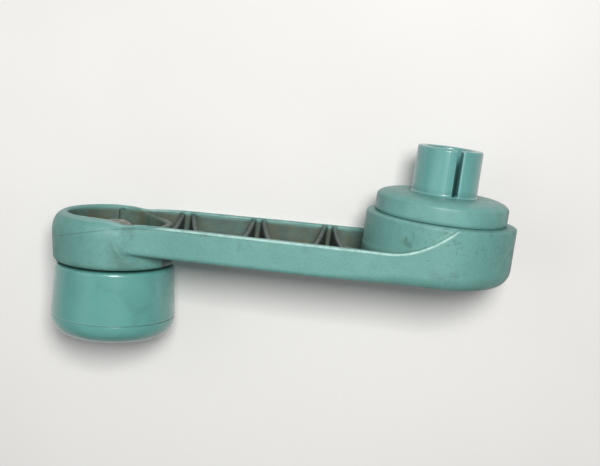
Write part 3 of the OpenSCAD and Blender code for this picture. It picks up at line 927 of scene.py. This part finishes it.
def build_cap():
    """Rounded cup that closes the lower end of the barrel."""
    bottom, lip_r, joint = BARREL_END - CAP_H, KNOB_RIM_R - 0.05, BARREL_END - 0.02
    plug_r, hollow_r, plug_top = KNOB_TOP_R - KNOB_WALL - 0.01, KNOB_TOP_R - 4.2, BARREL_END + 2.6
    profile = [(0, bottom), (KNOB_RIM_R - 5.2, bottom)]
    for angle in map(math.radians, range(-84, 1, 6)):
        profile.append((lip_r - 4.9 + 4.9 * math.cos(angle),
                        BARREL_END - 0.22 + (CAP_H - 0.25) * math.sin(angle)))
    profile += [(lip_r, joint, 0.12, 2), (plug_r, joint, 0.1, 2),
                (plug_r, plug_top, 0.3, 3), (hollow_r, plug_top, 0.3, 3),
                (hollow_r, bottom + 2.1, 0.8, 4), (0, bottom + 2.1)]
    cap = lathe("knob_cap_shell", profile, segments=192, longest=1.0, own=knob_field)
    dress(cap, "knob", "teal_knob_plastic", "knob_cap")


def build_collar():
    """Bearing collar: domed cover with a grooved skirt inside the boss."""
    bore_r, skirt_r, groove_r = JOURNAL_R + 0.06, 16.05, 15.62
    bottom, skirt_bottom = RING_TOP - 0.1, RING_TOP - 3.1
    groove_low, groove_high = SNAP_Z - SNAP_HALF, SNAP_Z + SNAP_HALF
    profile = [
        (bore_r, 0, 0.2, 3), (bore_r, bottom, 0.12, 2), (10.4, bottom, 0.12, 2),
        (10.4, -2.6, 0.3, 3), (14.95, -2.6, 0.3, 3),
        (14.95, skirt_bottom, 0.1, 2), (skirt_r, skirt_bottom, 0.15, 3),
        (skirt_r, groove_low, 0.04, 1), (groove_r, groove_low, 0.04, 1),
        (groove_r, groove_high, 0.04, 1), (skirt_r, groove_high, 0.04, 1),
        (skirt_r, RING_TOP + 0.05), (COLLAR_R - 0.16, RING_TOP + 0.1),
        (COLLAR_R, -COLLAR_H + 0.14)]
    for angle in map(math.radians, range(0, 90, 5)):
        profile.append((FACE_R + (COLLAR_R - FACE_R) * math.cos(angle),
                        -CROWN + CROWN * math.sin(angle)))
    profile.append((FACE_R, 0))
    collar = lathe("bearing_collar_ring", profile, segments=224, longest=0.8, in_knob=False,
                   own=collar_field)
    dress(collar, "collar", "teal_collar_plastic", "bearing_collar")


def build_bush():
    """Flanged liner in the barrel's tube."""
    top, flange, bottom = KNOB_TOP - 0.99, KNOB_TOP - 2.19, KNOB_TOP - 12.6
    bush = lathe("knob_bush_liner", [
        (4.05, top, 0.25, 3), (4.05, bottom, 0.3, 3), (6.0, bottom, 0.35, 3),
        (6.0, flange, 0.05, 1), (7.5, flange, 0.1, 2), (7.5, top, 0.25, 3),
    ], segments=96, longest=1.6)
    dress(bush, "knob", "natural_nylon", "knob_bush")


def build_pin():
    """Stepped pin, grooved near its lower end and riveted over a washer in the pad."""
    shoulder = PAD_BOTTOM - 0.01
    pin = lathe("knob_pin_rivet", [
        (0, KNOB_TOP - 15.0), (3.0, KNOB_TOP - 15.0, 0.5, 3),
        (3.0, KNOB_TOP - 14.25, 0.05, 1), (2.35, KNOB_TOP - 14.25, 0.1, 1),
        (2.35, KNOB_TOP - 13.45, 0.1, 1), (3.0, KNOB_TOP - 13.45, 0.05, 1),
        (3.0, KNOB_TOP - 12.65, 0.05, 1), (4.0, KNOB_TOP - 12.65, 0.3, 3),
        (4.0, shoulder, 0.1, 2), (3.0, shoulder, 0.05, 1),
        (3.0, 1.42, 0.05, 1), (4.1, 1.42, 0.15, 2), (4.1, 2.0, 0.5, 4),
        (2.6, 2.92, 0.9, 5), (1.25, 2.8, 0.4, 3), (0.7, 2.45, 0.3, 3), (0, 2.4),
    ], segments=96, longest=1.6)
    dress(pin, "crank", "zinc_steel", "knob_pin")
    washer = lathe("pin_washer_ring", [
        (3.01, 1.41, 0.12, 2), (3.01, 0.61, 0.12, 2), (5.2, 0.61, 0.15, 3), (5.2, 1.41, 0.28, 4),
    ], segments=96, longest=1.0)
    dress(washer, "crank", "zinc_steel", "pin_washer")


def wave_spring(name, inner_r, outer_r, bottom, top, half_thick, rounding, **options):
    """Wavy washer that fills the gap from bottom to top, 0.01 short of each."""
    middle = (bottom + top) / 2
    profile = [(inner_r, middle + half_thick, 0.03, 1), (inner_r, middle - half_thick, 0.03, 1),
               (outer_r, middle - half_thick, rounding, 2),
               (outer_r, middle + half_thick, rounding, 2)]
    depth = (top - bottom) / 2 - half_thick - 0.01
    return lathe(name, profile, longest=0.8, depth=depth, **options)


def build_wave_springs():
    spring = wave_spring("knob_wave_spring", 4.12, 7.38, KNOB_TOP - 0.9, PAD_BOTTOM - 0.47,
                         half_thick=0.13, rounding=0.06, segments=144, waves=3)
    dress(spring, "crank", "spring_steel", "knob_wave_washer")
    spring = wave_spring("collar_wave_spring", JOURNAL_R + 0.1, 10.28, SEAT + 3.01,
                         RING_TOP - 0.13, half_thick=0.12, rounding=0.05, segments=160,
                         waves=4, in_knob=False)
    dress(spring, "collar", "spring_steel", "collar_wave_washer")


# CAD nodes kept as they are: (node, slot, width of softened edges in mm)
KEPT_NODES = (
    ("hub_screws", "zinc_steel", 0.10),
    ("spindle_sleeve", "zinc_steel", 0.08),
    ("spindle_clip", "spring_steel", 0.0),
    ("collar_snap_ring", "spring_steel", 0.0),
    ("thrust_washer", "natural_nylon", 0.10),
    ("end_washer", "zinc_steel", 0.12),
    ("knob_retaining_ring", "spring_steel", 0.10),
)


def dress_kept_nodes():
    for node, slot, width in KEPT_NODES:
        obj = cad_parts[node]
        paint(obj, slot)
        if width:
            bevel = obj.modifiers.new("soft_edges", "BEVEL")
            bevel.width = width * MM
            bevel.segments = 2
            bevel.limit_method = "ANGLE"
            bevel.angle_limit = math.radians(40)
            bevel.use_clamp_overlap = True
            bevel.harden_normals = False
            obj.modifiers.new("weighted", "WEIGHTED_NORMAL")


build_moulded()
build_cap()
build_collar()
build_bush()
build_pin()
build_wave_springs()
dress_kept_nodes()

# ---------------------------------------------------------------- camera, floor and light (m)
AZIMUTH, ELEVATION, ROLL = (math.radians(angle) for angle in (-1.227, 9.1464, 7.5177))
CAMERA_DISTANCE = 0.2761
TARGET = Vector((-37.5275, 0, -16.0382)) * MM
FLOOR_HALF = 1.6

# Camera axes: it looks roughly along +Y, a little downwards
forward = Vector((math.sin(AZIMUTH) * math.cos(ELEVATION),
                  math.cos(AZIMUTH) * math.cos(ELEVATION), -math.sin(ELEVATION)))
level = forward.cross(Vector((0, 0, 1))).normalized()
upright = level.cross(forward)
view_right = level * math.cos(ROLL) + upright * math.sin(ROLL)
view_up = -level * math.sin(ROLL) + upright * math.cos(ROLL)


def build_camera():
    data = bpy.data.cameras.new("camera")
    data.sensor_fit = "HORIZONTAL"
    data.sensor_width = 36.0
    data.lens = 60.0
    data.clip_start = 0.02
    data.clip_end = 20
    camera = link("camera", data)
    rotation = Matrix((view_right, view_up, -forward)).transposed()
    camera.matrix_world = rotation.to_4x4()
    camera.matrix_world.translation = TARGET - forward * CAMERA_DISTANCE
    bpy.context.scene.camera = camera


def build_floor():
    """The handle lies on its side: the floor touches the +Y side of the boss and the knob."""
    turn = math.atan2(BOSS_R - KNOB_RIM_R, CRANK_R)
    along, up = Vector((math.cos(turn), math.sin(turn), 0)), Vector((0, 0, 1))
    origin = Vector((0, (BOSS_R + 0.05) * MM / math.cos(turn), 0))
    mesh = bpy.data.meshes.new("floor")
    corners = [origin + along * (a * FLOOR_HALF) + up * (b * FLOOR_HALF)
               for a, b in ((-1, -1), (1, -1), (1, 1), (-1, 1))]
    mesh.from_pydata(corners, [], [(0, 1, 2, 3)])
    floor = link("floor", mesh)
    mesh.materials.append(floor_material())


def area(name, offset, size, power, colour):
    """Soft square light aimed at the handle, offset (right, up, towards the camera)."""
    data = bpy.data.lights.new(name, "AREA")
    data.shape = "SQUARE"
    data.size = size
    data.energy = power
    data.color = colour
    light = link(name, data)
    right, up, back = offset
    light.location = place = TARGET + view_right * right + view_up * up - forward * back
    light.rotation_mode = "QUATERNION"
    light.rotation_quaternion = (place - TARGET).to_track_quat("Z", "Y")


def build_world():
    world = bpy.data.worlds.new("studio")
    bpy.context.scene.world = world
    world.use_nodes = True
    background = world.node_tree.nodes["Background"]
    background.inputs["Color"].default_value = (0.86, 0.87, 0.88, 1)
    background.inputs["Strength"].default_value = 0.27


build_camera()
build_floor()
area("key", offset=(0.045, 0.075, 0.42), size=0.12, power=1.85, colour=(1.0, 0.99, 0.97))
area("fill", offset=(-0.55, 0.10, 0.55), size=0.5, power=0.8, colour=(0.97, 0.985, 1.0))
area("rear", offset=(0.05, 0.25, -0.9), size=0.9, power=3.4, colour=(1, 1, 1))
build_world()
bpy.context.scene.view_settings.view_transform = "Standard"
